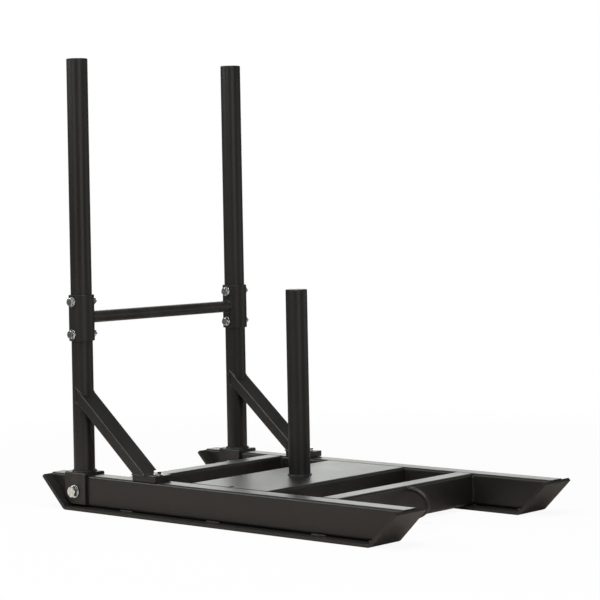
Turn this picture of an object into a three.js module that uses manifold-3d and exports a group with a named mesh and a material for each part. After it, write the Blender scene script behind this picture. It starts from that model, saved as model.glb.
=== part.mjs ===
// Push sled: two upturned skids carry a welded frame, a deck with a post for weight plates,
// two push poles in bolted sleeves, and a loop for a tow strap.
// Millimetres, +Z up. The origin is on the floor, midway between the skids and their ends.
// The pusher stands at +Y and faces -Y, so -X is the right side and +X is the left side.

import * as THREE from 'three';
import { mergeVertices } from 'three/addons/utils/BufferGeometryUtils.js';
import Module from 'manifold-3d';

const wasm = await Module();
wasm.setup();

// Fits, cuts and smoothness
const seatGap = 0.3;
const overrun = 5;
const roundSides = 36;
const boltSides = 16;
const bendSteps = 3;

// Skids: flat bar with both ends turned up
const skidWidth = 100;
const skidThickness = 8;
const skidFlatLength = 924;
const skidInnerBend = 6;
const skidTipDrop = 2;
const skidTipAngle = THREE.MathUtils.degToRad(45);

// Runners: rectangular tube, mitred to lie in the skids' turned ends
const runnerWidth = 50;
const runnerHeight = 72;
const runnerWall = 3;
const runnerCorner = 7;
const runnerSpacing = 528;
const ventDiameter = 7;
const ventHeight = 19;

// Crossbars: the same kind of tube between the runners
const crossbarWidth = 50;
const crossbarHeight = 72;
const crossbarWall = 3;
const crossbarCorner = 7;
const crossbarInset = 169;

// Deck: folded plate between the runners, with a hole beside the right runner
const deckLength = 236;
const deckThickness = 6;
const deckFlange = 55;
const deckInnerBend = 1;
const deckHole = 13;
const deckHoleInset = 9;

// Weight post and its cap
const postDiameter = 50;
const postWall = 3;
const postLength = 425;
const capFlange = 2.6;
const capEdge = 1.6;
const capPlug = 14;
const capPlugWall = 2.5;
const capPlugFit = 0.6;

// Saddles: folded plates that straddle the runners and carry the uprights
const uprightInset = 21;
const saddleLength = 68;
const saddleThickness = 6;
const saddleFit = 0.5;
const saddleOuterBend = 5;
const saddleFloorGap = 5;
const saddleBoltDrop = 38;

// Uprights, push poles and the sleeves that join them
const poleDiameter = 50;
const poleWall = 2.5;
const uprightLength = 360;
const pushPoleLength = 606;
const sleeveWall = 4.5;
const sleeveFit = 0.5;
const sleeveLength = 108;
const sleeveBoltSpacing = 76;

// Bar between the sleeves
const pushBarDiameter = 28;
const pushBarWall = 2.5;

// Braces and their feet
const braceWidth = 50;
const braceDepth = 25;
const braceWall = 2.5;
const braceCorner = 3;
const braceAngle = THREE.MathUtils.degToRad(40);
const footReach = 186;
const footLength = 74;
const footThickness = 14;
const footBoltSetback = 17;

// Tow loop: round bar bent in a vertical plane
const loopBar = 10;
const loopTopInset = 7;
const loopHalfHeight = 31;
const loopReach = 53;
const loopSides = 6;
const loopSteps = 28;

// Large fasteners, through the saddles
const largeBolt = {
  shank: 16, flats: 24, head: 10, nut: 13, washer: 30, washerThickness: 3, spare: 5,
};

// Small fasteners, through the sleeves and the brace feet
const smallBolt = {
  shank: 10, flats: 17, head: 7, nut: 9, washer: 23, washerThickness: 2, spare: 7,
};
const holeClearance = 1;
const threadClearance = 0.3;
const hexChamferShare = 0.07;

// Heights and places that follow from the sizes above
const runnerBottom = skidThickness + seatGap;
const runnerTop = runnerBottom + runnerHeight;
const deckTop = runnerTop;
const innerFace = runnerSpacing / 2 - runnerWidth / 2;
const saddleBottomFace = runnerTop + seatGap;
const saddleTop = saddleBottomFace + saddleThickness;
const crossbarSpacing = skidFlatLength - crossbarInset * 2;
const uprightOffset = skidFlatLength / 2 - uprightInset;
const uprightBottom = saddleTop + seatGap;
const sleeveCentre = uprightBottom + uprightLength + seatGap / 2;
const sleeveRadius = poleDiameter / 2 + sleeveFit + sleeveWall;
const footBottom = runnerTop + seatGap;
const footTop = footBottom + footThickness;
const footRear = uprightOffset - footReach;
const footBoltPlace = footRear - footLength + footBoltSetback;

// Materials
function blackCoat() {
  return new THREE.MeshStandardMaterial({ color: 0x2c2928, roughness: 0.42, metalness: 0.1 });
}

function blackPlastic() {
  return new THREE.MeshStandardMaterial({ color: 0x1f1f20, roughness: 0.6, metalness: 0 });
}

function zincPlate() {
  return new THREE.MeshStandardMaterial({ color: 0xc9c9c4, roughness: 0.3, metalness: 1 });
}

// Solids for joining and cutting
function solidOf(geometry) {
  const bare = geometry.clone();
  bare.deleteAttribute('normal');
  bare.deleteAttribute('uv');
  const welded = mergeVertices(bare);
  const vertProperties = new Float32Array(welded.attributes.position.array);
  const triVerts = new Uint32Array(welded.index.array);
  return new wasm.Manifold(new wasm.Mesh({ numProp: 3, vertProperties, triVerts }));
}

function geometryOf(solid) {
  const mesh = solid.getMesh();
  const geometry = new THREE.BufferGeometry();
  geometry.setAttribute('position', new THREE.BufferAttribute(mesh.vertProperties, 3));
  geometry.setIndex(new THREE.BufferAttribute(mesh.triVerts, 1));
  geometry.computeVertexNormals();
  return geometry;
}

function cut(body, ...cutters) {
  return cutters.reduce((left, cutter) => left.subtract(cutter), body);
}

// Simple forms, each placed by its limits or its axis
function block(lowX, highX, lowY, highY, lowZ, highZ) {
  const geometry = new THREE.BoxGeometry(highX - lowX, highY - lowY, highZ - lowZ);
  geometry.translate((lowX + highX) / 2, (lowY + highY) / 2, (lowZ + highZ) / 2);
  return solidOf(geometry);
}

function rodAlongZ(radius, lowZ, highZ, x = 0, y = 0, sides = roundSides) {
  const geometry = new THREE.CylinderGeometry(radius, radius, highZ - lowZ, sides);
  geometry.rotateX(Math.PI / 2);
  geometry.translate(x, y, (lowZ + highZ) / 2);
  return solidOf(geometry);
}

function rodAlongX(radius, lowX, highX, y, z, sides = roundSides) {
  const geometry = new THREE.CylinderGeometry(radius, radius, highX - lowX, sides);
  geometry.rotateZ(Math.PI / 2);
  geometry.translate((lowX + highX) / 2, y, z);
  return solidOf(geometry);
}

function pipeAlongZ(outer, inner, lowZ, highZ) {
  return cut(rodAlongZ(outer, lowZ, highZ), rodAlongZ(inner, lowZ - overrun, highZ + overrun));
}

// Outlines are drawn flat and then run along one axis
const axisX = new THREE.Vector3(1, 0, 0);
const axisY = new THREE.Vector3(0, 1, 0);
const axisZ = new THREE.Vector3(0, 0, 1);

function runAlongX(outline, lowX, highX) {
  const options = { depth: highX - lowX, bevelEnabled: false, curveSegments: bendSteps };
  const geometry = new THREE.ExtrudeGeometry(outline, options);
  geometry.applyMatrix4(new THREE.Matrix4().makeBasis(axisY, axisZ, axisX));
  geometry.translate(lowX, 0, 0);
  return solidOf(geometry);
}

function runAlongY(outline, lowY, highY) {
  const options = { depth: highY - lowY, bevelEnabled: false, curveSegments: bendSteps };
  const geometry = new THREE.ExtrudeGeometry(outline, options);
  const back = axisY.clone().negate();
  geometry.applyMatrix4(new THREE.Matrix4().makeBasis(axisX, axisZ, back));
  geometry.translate(0, highY, 0);
  return solidOf(geometry);
}

function roundedRectangle(path, lowA, highA, lowB, highB, corner) {
  path.absarc(highA - corner, lowB + corner, corner, -Math.PI / 2, 0, false);
  path.absarc(highA - corner, highB - corner, corner, 0, Math.PI / 2, false);
  path.absarc(lowA + corner, highB - corner, corner, Math.PI / 2, Math.PI, false);
  path.absarc(lowA + corner, lowB + corner, corner, Math.PI, Math.PI * 1.5, false);
  path.closePath();
  return path;
}

// Tube section centred sideways, standing on the height lowB
function tubeSection(width, height, wall, corner, lowB) {
  const half = width / 2;
  const section = roundedRectangle(new THREE.Shape(), -half, half, lowB, lowB + height, corner);
  const innerCorner = Math.max(corner - wall, wall / 2);
  const bore = new THREE.Path();
  roundedRectangle(bore, wall - half, half - wall, lowB + wall, lowB + height - wall, innerCorner);
  section.holes.push(bore);
  return section;
}

// Side view of a skid's bends, as faces at a depth below its outer face
const skidOuterBend = skidInnerBend + skidThickness;
const bendPlace = skidFlatLength / 2 - skidOuterBend * Math.tan(skidTipAngle / 2);

function slopePlace(depth, height) {
  const radius = skidOuterBend - depth;
  const startY = bendPlace + radius * Math.sin(skidTipAngle);
  const startZ = skidOuterBend - radius * Math.cos(skidTipAngle);
  return startY + (height - startZ) / Math.tan(skidTipAngle);
}

function skidOutline() {
  const bottom = -Math.PI / 2;
  const tipTop = runnerTop - skidTipDrop;
  const innerTip = new THREE.Vector2(slopePlace(skidThickness, tipTop), tipTop);
  const outerTip = new THREE.Vector2(
    innerTip.x + skidThickness * Math.sin(skidTipAngle),
    innerTip.y - skidThickness * Math.cos(skidTipAngle),
  );
  const outline = new THREE.Shape();
  outline.absarc(bendPlace, skidOuterBend, skidOuterBend, bottom, bottom + skidTipAngle, false);
  outline.lineTo(outerTip.x, outerTip.y);
  outline.lineTo(innerTip.x, innerTip.y);
  outline.absarc(bendPlace, skidOuterBend, skidInnerBend, bottom + skidTipAngle, bottom, true);
  outline.absarc(-bendPlace, skidOuterBend, skidInnerBend, bottom, bottom - skidTipAngle, true);
  outline.lineTo(-innerTip.x, innerTip.y);
  outline.lineTo(-outerTip.x, outerTip.y);
  outline.absarc(-bendPlace, skidOuterBend, skidOuterBend, bottom - skidTipAngle, bottom, false);
  outline.closePath();
  return outline;
}

// Space inside a skid, from a depth below its outer face: what stands in the skid is cut to this
function insideSkid(depth) {
  const bottom = -Math.PI / 2;
  const radius = skidOuterBend - depth;
  const top = saddleTop + overrun;
  const topPlace = slopePlace(depth, top);
  const outline = new THREE.Shape();
  outline.absarc(bendPlace, skidOuterBend, radius, bottom, bottom + skidTipAngle, false);
  outline.lineTo(topPlace, top);
  outline.lineTo(-topPlace, top);
  outline.absarc(-bendPlace, skidOuterBend, radius, bottom - skidTipAngle, bottom, false);
  outline.closePath();
  return runAlongX(outline, -skidWidth / 2, skidWidth / 2);
}

// Skid and runner
const saddleBoltHeight = runnerTop - saddleBoltDrop;
const largeHoleRadius = (largeBolt.shank + holeClearance) / 2;
const smallHoleRadius = (smallBolt.shank + holeClearance) / 2;

function saddleBoltHole() {
  const reach = skidWidth / 2;
  return rodAlongX(largeHoleRadius, -reach, reach, uprightOffset, saddleBoltHeight, boltSides);
}

function footBoltHole(low, high) {
  return rodAlongZ(smallHoleRadius, low - overrun, high + overrun, 0, footBoltPlace, boltSides);
}

function skid() {
  return runAlongX(skidOutline(), -skidWidth / 2, skidWidth / 2);
}

function runner(side) {
  const reach = slopePlace(skidThickness, runnerTop) + overrun;
  const tube = tubeSection(runnerWidth, runnerHeight, runnerWall, runnerCorner, runnerBottom);
  const half = runnerWidth / 2;
  const mitred = runAlongY(tube, -reach, reach).intersect(insideSkid(skidThickness + seatGap));
  const inward = -side * half;
  const ventLevel = runnerBottom + ventHeight;
  const ventPlace = -slopePlace(skidThickness + seatGap, ventLevel);
  return cut(
    mitred,
    rodAlongX(ventDiameter / 2, inward - overrun, inward + overrun, ventPlace, ventLevel, boltSides),
    saddleBoltHole(),
    footBoltHole(runnerTop - runnerWall, runnerTop),
  );
}

// Crossbars, flush with the runners' tops
function crossbar(place) {
  const reach = innerFace - seatGap;
  const half = crossbarWidth / 2;
  const low = runnerTop - crossbarHeight;
  const section = roundedRectangle(
    new THREE.Shape(), place - half, place + half, low, runnerTop, crossbarCorner,
  );
  const bore = new THREE.Path();
  const wall = crossbarWall;
  const boreCorner = Math.max(crossbarCorner - wall, wall / 2);
  const front = place - half + wall;
  const rear = place + half - wall;
  roundedRectangle(bore, front, rear, low + wall, runnerTop - wall, boreCorner);
  section.holes.push(bore);
  return runAlongX(section, -reach, reach);
}

// Deck: a flat plate whose front and rear edges are folded down
function deckPlate() {
  const reach = innerFace - seatGap;
  const half = deckLength / 2;
  const outerBend = deckInnerBend + deckThickness;
  const low = deckTop - deckFlange;
  const outline = new THREE.Shape();
  outline.moveTo(half, low);
  const bendY = half - outerBend;
  const bendZ = deckTop - outerBend;
  outline.absarc(bendY, bendZ, outerBend, 0, Math.PI / 2, false);
  outline.absarc(-bendY, bendZ, outerBend, Math.PI / 2, Math.PI, false);
  outline.lineTo(-half, low);
  outline.lineTo(deckThickness - half, low);
  outline.absarc(-bendY, bendZ, deckInnerBend, Math.PI, Math.PI / 2, true);
  outline.absarc(bendY, bendZ, deckInnerBend, Math.PI / 2, 0, true);
  outline.lineTo(half - deckThickness, low);
  outline.closePath();
  const holePlace = deckHoleInset - innerFace;
  const holeLow = deckTop - deckThickness - overrun;
  const hole = rodAlongZ(deckHole / 2, holeLow, deckTop + overrun, holePlace, 0, boltSides);
  return cut(runAlongX(outline, -reach, reach), hole);
}

// Weight post, standing on the deck
const postBottom = deckTop + seatGap;
const postTop = postBottom + postLength;

function weightPost() {
  return pipeAlongZ(postDiameter / 2, postDiameter / 2 - postWall, postBottom, postTop);
}

// Cap pressed into a tube's end, hollow below; its flange rests at height zero
function tubeCap(tubeDiameter, tubeWall) {
  const flange = tubeDiameter / 2;
  const plug = flange - tubeWall - capPlugFit;
  const hollow = plug - capPlugWall;
  const profile = new THREE.Path();
  profile.moveTo(0, 0);
  profile.lineTo(hollow, 0);
  profile.lineTo(hollow, -capPlug);
  profile.lineTo(plug, -capPlug);
  profile.lineTo(plug, 0);
  profile.lineTo(flange, 0);
  profile.absarc(flange - capEdge, capFlange - capEdge, capEdge, 0, Math.PI / 2, false);
  profile.lineTo(0, capFlange);
  const geometry = new THREE.LatheGeometry(profile.getPoints(1), roundSides);
  geometry.rotateX(Math.PI / 2);
  return solidOf(geometry);
}

// Saddle: a plate folded over the runner, with a hole for the bolt through both cheeks
const saddleHalf = runnerWidth / 2 + saddleFit + saddleThickness;

function saddle() {
  const low = skidThickness + saddleFloorGap;
  const inner = saddleHalf - saddleThickness;
  const bendX = saddleHalf - saddleOuterBend;
  const bendZ = saddleTop - saddleOuterBend;
  const outline = new THREE.Shape();
  outline.moveTo(saddleHalf, low);
  outline.absarc(bendX, bendZ, saddleOuterBend, 0, Math.PI / 2, false);
  outline.absarc(-bendX, bendZ, saddleOuterBend, Math.PI / 2, Math.PI, false);
  outline.lineTo(-saddleHalf, low);
  outline.lineTo(-inner, low);
  outline.lineTo(-inner, saddleBottomFace);
  outline.lineTo(inner, saddleBottomFace);
  outline.lineTo(inner, low);
  outline.closePath();
  const half = saddleLength / 2;
  const folded = runAlongY(outline, uprightOffset - half, uprightOffset + half);
  return cut(folded.intersect(insideSkid(skidThickness + saddleFloorGap)), saddleBoltHole());
}

// Lower upright and push pole, which meet inside the sleeve
const poleRadius = poleDiameter / 2;
const uprightTop = uprightBottom + uprightLength;
const pushPoleBottom = uprightTop + seatGap;
const pushPoleTop = pushPoleBottom + pushPoleLength;
const upperBoltHeight = sleeveCentre + sleeveBoltSpacing / 2;
const lowerBoltHeight = sleeveCentre - sleeveBoltSpacing / 2;

function acrossHole(height) {
  const reach = sleeveRadius + overrun;
  return rodAlongX(smallHoleRadius, -reach, reach, 0, height, boltSides);
}

function lowerUpright() {
  const tube = pipeAlongZ(poleRadius, poleRadius - poleWall, uprightBottom, uprightTop);
  return cut(tube, acrossHole(lowerBoltHeight));
}

function pushPole() {
  const tube = pipeAlongZ(poleRadius, poleRadius - poleWall, pushPoleBottom, pushPoleTop);
  return cut(tube, acrossHole(upperBoltHeight));
}

function sleeve() {
  const low = sleeveCentre - sleeveLength / 2;
  const high = sleeveCentre + sleeveLength / 2;
  const tube = pipeAlongZ(sleeveRadius, poleRadius + sleeveFit, low, high);
  return cut(tube, acrossHole(lowerBoltHeight), acrossHole(upperBoltHeight));
}

// Bar between the sleeves, its ends shaped to them
function pushCrossbar() {
  const reach = runnerSpacing / 2;
  const radius = pushBarDiameter / 2;
  const low = sleeveCentre - radius - overrun;
  const high = sleeveCentre + radius + overrun;
  return cut(
    rodAlongX(radius, -reach, reach, 0, sleeveCentre),
    rodAlongX(radius - pushBarWall, -reach - overrun, reach + overrun, 0, sleeveCentre),
    rodAlongZ(sleeveRadius + seatGap, low, high, -reach, 0),
    rodAlongZ(sleeveRadius + seatGap, low, high, reach, 0),
  );
}

// Brace: a flat tube that leans from its foot up to the front of the upright
function brace() {
  const reach = (uprightOffset - footRear) / Math.cos(braceAngle) + braceDepth;
  const start = -braceDepth / Math.tan(braceAngle) - overrun;
  const section = tubeSection(braceWidth, braceDepth, braceWall, braceCorner, 0);
  const straight = geometryOf(runAlongY(section, start, reach + overrun));
  straight.rotateX(braceAngle);
  straight.translate(0, footRear, footTop + seatGap);
  const side = braceWidth / 2 + overrun;
  const top = footTop + reach + braceDepth;
  const far = uprightOffset + reach;
  return cut(
    solidOf(straight),
    block(-side, side, start, far, -reach, footTop + seatGap),
    block(-side, side, uprightOffset, far, footTop, top),
    rodAlongZ(poleRadius + seatGap, footTop, top, 0, uprightOffset),
  );
}

function braceFoot() {
  const half = braceWidth / 2;
  return cut(
    block(-half, half, footRear - footLength, footRear, footBottom, footTop),
    footBoltHole(footBottom, footTop),
  );
}

// Tow loop: half an ellipse in the middle plane, both ends square to the front crossbar
const loopTop = runnerTop - loopTopInset;
const loopStart = -(crossbarSpacing / 2 + crossbarWidth / 2 + seatGap);

class LoopLine extends THREE.Curve {
  getPoint(share) {
    const turn = Math.PI * share;
    const out = loopStart - loopReach * Math.sin(turn);
    return new THREE.Vector3(0, out, loopTop - loopHalfHeight + loopHalfHeight * Math.cos(turn));
  }
}

function towLoop() {
  const circle = new THREE.Shape().absarc(0, 0, loopBar / 2, 0, Math.PI * 2, false);
  const options = {
    steps: loopSteps, curveSegments: loopSides, bevelEnabled: false, extrudePath: new LoopLine(),
  };
  return solidOf(new THREE.ExtrudeGeometry(circle, options));
}

// Fasteners stand along Z with their bearing face at height zero
function hexagon(flats, height) {
  const corner = flats / Math.sqrt(3);
  const prism = rodAlongZ(corner, 0, height, 0, 0, 6);
  const chamfer = flats * hexChamferShare;
  const profile = [
    new THREE.Vector2(0, 0),
    new THREE.Vector2(corner, 0),
    new THREE.Vector2(corner, height - chamfer),
    new THREE.Vector2(corner - chamfer * 2, height),
    new THREE.Vector2(0, height),
  ];
  const rounded = solidOf(new THREE.LatheGeometry(profile, boltSides).rotateX(Math.PI / 2));
  return prism.intersect(rounded);
}

function bolt(size, grip) {
  const length = grip + size.nut + size.spare;
  const shank = rodAlongZ(size.shank / 2, -length, size.head / 2, 0, 0, boltSides);
  return hexagon(size.flats, size.head).add(shank);
}

function nut(size) {
  const bore = size.shank / 2 + threadClearance;
  const hole = rodAlongZ(bore, -overrun, size.nut + overrun, 0, 0, boltSides);
  return cut(hexagon(size.flats, size.nut), hole);
}

function washer(size) {
  const bore = size.shank / 2 + threadClearance;
  return cut(
    rodAlongZ(size.washer / 2, 0, size.washerThickness, 0, 0, boltSides),
    rodAlongZ(bore, -overrun, size.washerThickness + overrun, 0, 0, boltSides),
  );
}

// The sled, put together
const sled = new THREE.Group();

function addPiece(parent, name, solid, material, x = 0, y = 0, z = 0) {
  const mesh = new THREE.Mesh(geometryOf(solid), material);
  mesh.name = name;
  mesh.position.set(x, y, z);
  parent.add(mesh);
  return mesh;
}

// A bolt across the sled, with its head on the side named by headSide, -1 or 1
function addCrossBolt(parent, name, size, halfGrip, [y, z], headSide, washersOnBothSides) {
  const fastener = new THREE.Group();
  fastener.position.set(0, y, z);
  parent.add(fastener);
  const seat = halfGrip + seatGap;
  const washerSpace = size.washerThickness + seatGap;
  const nutSpace = washersOnBothSides ? washerSpace : 0;
  const headSeat = seat + washerSpace;
  const nutSeat = seat + nutSpace;
  const headTurn = headSide * Math.PI / 2;
  const shank = bolt(size, headSeat + nutSeat);
  const pieces = [
    [`${name}_bolt`, shank, headSide * headSeat, headTurn],
    [`${name}_head_washer`, washer(size), headSide * seat, headTurn],
    [`${name}_nut`, nut(size), -headSide * nutSeat, -headTurn],
  ];
  if (washersOnBothSides) {
    pieces.push([`${name}_nut_washer`, washer(size), -headSide * seat, -headTurn]);
  }
  for (const [pieceName, solid, x, turn] of pieces) {
    addPiece(fastener, pieceName, solid, zincPlate(), x).rotation.y = turn;
  }
}

// A bolt down through a brace's foot and the runner's top wall, with its nut inside the runner
function addFootBolt(parent, name, size) {
  const washerSeat = footTop + seatGap;
  const headSeat = washerSeat + size.washerThickness + seatGap;
  const nutSeat = runnerTop - runnerWall - seatGap;
  const fastener = new THREE.Group();
  fastener.position.set(0, footBoltPlace, 0);
  parent.add(fastener);
  addPiece(fastener, `${name}_bolt`, bolt(size, headSeat - nutSeat), zincPlate(), 0, 0, headSeat);
  addPiece(fastener, `${name}_washer`, washer(size), zincPlate(), 0, 0, washerSeat);
  const nutMesh = addPiece(fastener, `${name}_nut`, nut(size), zincPlate(), 0, 0, nutSeat);
  nutMesh.rotation.x = Math.PI;
}

function addSide(name, side) {
  const group = new THREE.Group();
  group.position.x = side * runnerSpacing / 2;
  sled.add(group);
  addPiece(group, `${name}_skid`, skid(), blackCoat());
  addPiece(group, `${name}_runner`, runner(side), blackCoat());
  addPiece(group, `${name}_saddle`, saddle(), blackCoat());
  addPiece(group, `${name}_brace`, brace(), blackCoat());
  addPiece(group, `${name}_brace_foot`, braceFoot(), blackCoat());
  const saddleBoltPlace = [uprightOffset, saddleBoltHeight];
  addCrossBolt(group, `${name}_saddle`, largeBolt, saddleHalf, saddleBoltPlace, side, true);
  addFootBolt(group, `${name}_foot`, smallBolt);

  const stand = new THREE.Group();
  stand.position.y = uprightOffset;
  group.add(stand);
  addPiece(stand, `${name}_lower_upright`, lowerUpright(), blackCoat());
  addPiece(stand, `${name}_sleeve`, sleeve(), blackCoat());
  addPiece(stand, `${name}_push_pole`, pushPole(), blackCoat());
  const capSeat = pushPoleTop + seatGap;
  addPiece(stand, `${name}_pole_cap`, tubeCap(poleDiameter, poleWall), blackPlastic(), 0, 0, capSeat);
  addCrossBolt(stand, `${name}_sleeve_upper`, smallBolt, sleeveRadius, [0, upperBoltHeight], -1, false);
  addCrossBolt(stand, `${name}_sleeve_lower`, smallBolt, sleeveRadius, [0, lowerBoltHeight], -1, false);
}

addSide('right', -1);
addSide('left', 1);
addPiece(sled, 'front_crossbar', crossbar(-crossbarSpacing / 2), blackCoat());
addPiece(sled, 'rear_crossbar', crossbar(crossbarSpacing / 2), blackCoat());
addPiece(sled, 'deck_plate', deckPlate(), blackCoat());
addPiece(sled, 'weight_post', weightPost(), blackCoat());
addPiece(sled, 'post_cap', tubeCap(postDiameter, postWall), blackPlastic(), 0, 0, postTop + seatGap);
addPiece(sled, 'tow_loop', towLoop(), blackCoat());
addPiece(sled, 'push_crossbar', pushCrossbar(), blackCoat(), 0, uprightOffset);

export default sled;
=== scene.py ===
# %% [markdown]
# # A push sled
#
# A push sled is a steel frame on two skids. It is loaded with weight plates on its post, and pushed by
# its two tall poles or pulled by the loop at its front. The solids of the frame were made to size before
# this lesson, so here every piece is placed by the boxes that those solids give, in metres, with +Z up.
# The pusher stands at +Y and pushes towards -Y, so the sled's right side is at -X.

# %% Load the frame
import math

import bmesh
import bpy
from mathutils import Matrix, Vector


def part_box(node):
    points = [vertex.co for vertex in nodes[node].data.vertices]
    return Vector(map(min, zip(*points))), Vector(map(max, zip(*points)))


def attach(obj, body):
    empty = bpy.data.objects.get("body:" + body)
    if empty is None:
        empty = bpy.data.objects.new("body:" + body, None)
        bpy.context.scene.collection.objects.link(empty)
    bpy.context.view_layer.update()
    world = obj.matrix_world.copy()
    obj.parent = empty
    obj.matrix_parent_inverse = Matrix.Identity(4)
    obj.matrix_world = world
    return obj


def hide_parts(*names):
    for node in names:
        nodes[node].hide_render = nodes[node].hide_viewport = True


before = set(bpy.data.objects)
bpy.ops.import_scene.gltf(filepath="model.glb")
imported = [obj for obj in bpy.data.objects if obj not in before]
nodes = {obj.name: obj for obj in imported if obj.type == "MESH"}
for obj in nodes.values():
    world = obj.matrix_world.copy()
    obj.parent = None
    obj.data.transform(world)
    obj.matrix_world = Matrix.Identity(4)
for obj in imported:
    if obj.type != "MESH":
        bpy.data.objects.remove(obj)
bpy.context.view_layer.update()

MM = 0.001
scene = bpy.context.scene
print("frame nodes:", len(nodes))

# %% [markdown]
# ## The camera
#
# The photograph was taken from a little under five metres away, with a long lens, held level at the
# height of the handles. A level camera keeps the poles upright in the picture. The sled stands low in
# that level view, so the lens is shifted down instead of tilted, as with a view camera.

# %% Camera
CAMERA_PLACE = Vector((-3.6205, -3.1817, 0.7274))
CAMERA_TURN = math.radians(-48.387)
CAMERA_LIFT = math.radians(0.0446)
CAMERA_ROLL = math.radians(-1.094)
FOCAL_PIXELS = 2090.4
PHOTO_PIXELS = 600
PHOTO_CENTRE = PHOTO_PIXELS / 2
LEVEL_POINT = (283.3, 192.8)
SENSOR = 36.0

camera_data = bpy.data.cameras.new("camera")
camera_data.sensor_width = SENSOR
camera_data.lens = SENSOR * FOCAL_PIXELS / PHOTO_PIXELS
camera_data.shift_x = (PHOTO_CENTRE - LEVEL_POINT[0]) / PHOTO_PIXELS
camera_data.shift_y = (LEVEL_POINT[1] - PHOTO_CENTRE) / PHOTO_PIXELS
camera = bpy.data.objects.new("camera", camera_data)
scene.collection.objects.link(camera)
level = Matrix.Rotation(CAMERA_TURN, 4, "Z") @ Matrix.Rotation(math.pi / 2 + CAMERA_LIFT, 4, "X")
camera.matrix_world = Matrix.Translation(CAMERA_PLACE) @ level @ Matrix.Rotation(CAMERA_ROLL, 4, "Z")
scene.camera = camera
print("lens:", round(camera_data.lens, 1), "mm, shift:", round(camera_data.shift_y, 3))

# %% [markdown]
# ## The studio
#
# The sled stands on a white floor in front of a white backdrop, in soft light. The floor is a wide disc
# that diffuses light like paper. What the camera sees of it is lifted most of the way to white, which
# leaves a faint shadow under the sled, and it fades to pure white further out, so no horizon shows.
# The steel mirrors a pool of light painted into the floor's colour, warmest and brightest behind the sled's right side.

# %% Shader helpers


def node_of(tree, kind, **inputs):
    """Adds a shader node, and sets the inputs that are named, with _ for a space."""
    made = tree.nodes.new(kind)
    for key, value in inputs.items():
        made.inputs[key.replace("_", " ")].default_value = value
    return made


def math_of(tree, operation, first, second):
    """Adds a sum of two values, each a socket or a plain number."""
    made = tree.nodes.new("ShaderNodeMath")
    made.operation = operation
    for socket, value in zip(made.inputs, (first, second)):
        if isinstance(value, (int, float)):
            socket.default_value = value
        else:
            tree.links.new(value, socket)
    return made.outputs["Value"]


def span_of(tree, value, low, high, to_low, to_high, smooth=False):
    """Maps a value from one range to another, and holds it there."""
    made = tree.nodes.new("ShaderNodeMapRange")
    made.interpolation_type = "SMOOTHSTEP" if smooth else "LINEAR"
    for key, number in (("From Min", low), ("From Max", high), ("To Min", to_low), ("To Max", to_high)):
        made.inputs[key].default_value = number
    tree.links.new(value, made.inputs["Value"])
    return made.outputs["Result"]


def blend_of(tree, share, first, second):
    """Mixes two colours by a share, each a socket or a plain colour."""
    made = tree.nodes.new("ShaderNodeMix")
    made.data_type = "RGBA"
    tree.links.new(share, made.inputs["Factor"])
    for key, value in (("A", first), ("B", second)):
        socket = next(item for item in made.inputs if item.name == key and item.type == "RGBA")
        if isinstance(value, tuple):
            socket.default_value = value
        else:
            tree.links.new(value, socket)
    return next(item for item in made.outputs if item.type == "RGBA")


def blank_tree(owner, output_kind):
    """Empties the node tree of a material or a world, and gives it a new output."""
    owner.use_nodes = True
    owner.node_tree.nodes.clear()
    return owner.node_tree, owner.node_tree.nodes.new(output_kind)


print("shader helpers ready")

# %% Floor
FLOOR_RADIUS = 9.0
FLOOR_FADE = (0.9, 2.4)
FLOOR_SEEN = (0.86, 0.86, 0.86, 1)
# The painted pool of light: the floor's colour near the pool's centre and far from it.
FLOOR_NEAR = (0.85, 0.76, 0.68, 1)
FLOOR_FAR = (0.3, 0.28, 0.26, 1)
FLOOR_LIT = (0.7, 1.8)
FLOOR_POOL = (-0.35, 0.25, 0)
FLOOR_LIFT = 0.93

disc = bmesh.new()
bmesh.ops.create_circle(disc, cap_ends=True, radius=FLOOR_RADIUS, segments=96)
floor_data = bpy.data.meshes.new("floor")
disc.to_mesh(floor_data)
disc.free()
floor = bpy.data.objects.new("floor", floor_data)
scene.collection.objects.link(floor)

floor_material = bpy.data.materials.new("white floor")
tree, output = blank_tree(floor_material, "ShaderNodeOutputMaterial")
seen = tree.nodes.new("ShaderNodeLightPath").outputs["Is Camera Ray"]
paper = node_of(tree, "ShaderNodeBsdfDiffuse")
reach = tree.nodes.new("ShaderNodeVectorMath")
reach.operation = "LENGTH"
spot = tree.nodes.new("ShaderNodeTexCoord").outputs["Object"]
tree.links.new(spot, reach.inputs[0])
from_pool = tree.nodes.new("ShaderNodeVectorMath")
from_pool.operation = "DISTANCE"
tree.links.new(spot, from_pool.inputs[0])
from_pool.inputs[1].default_value = FLOOR_POOL
# Painted pool of light: all rays but the camera's see the floor's colour bright and warm near FLOOR_POOL, and dark
# further out.
away = span_of(tree, from_pool.outputs["Value"], *FLOOR_LIT, 0.0, 1.0, smooth=True)
painted_pool_colour = blend_of(tree, away, FLOOR_NEAR, FLOOR_FAR)
tree.links.new(blend_of(tree, seen, painted_pool_colour, FLOOR_SEEN), paper.inputs["Color"])
white = node_of(tree, "ShaderNodeEmission", Color=(1, 1, 1, 1), Strength=1.0)
lift = span_of(tree, reach.outputs["Value"], *FLOOR_FADE, FLOOR_LIFT, 1.0)
mix = tree.nodes.new("ShaderNodeMixShader")
tree.links.new(math_of(tree, "MULTIPLY", lift, seen), mix.inputs["Fac"])
tree.links.new(paper.outputs["BSDF"], mix.inputs[1])
tree.links.new(white.outputs["Emission"], mix.inputs[2])
tree.links.new(mix.outputs["Shader"], output.inputs["Surface"])
floor_data.materials.append(floor_material)
print("floor radius:", FLOOR_RADIUS, "m")

# %% [markdown]
# The backdrop is the world itself: plain white to the camera. Gloss sees it white too where it hangs,
# behind the sled, and sees the rest of the studio as a dim room. That is why the flat tops of the
# frame, which reflect the backdrop at a low angle, look pale, while the round tubes stay black.

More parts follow.
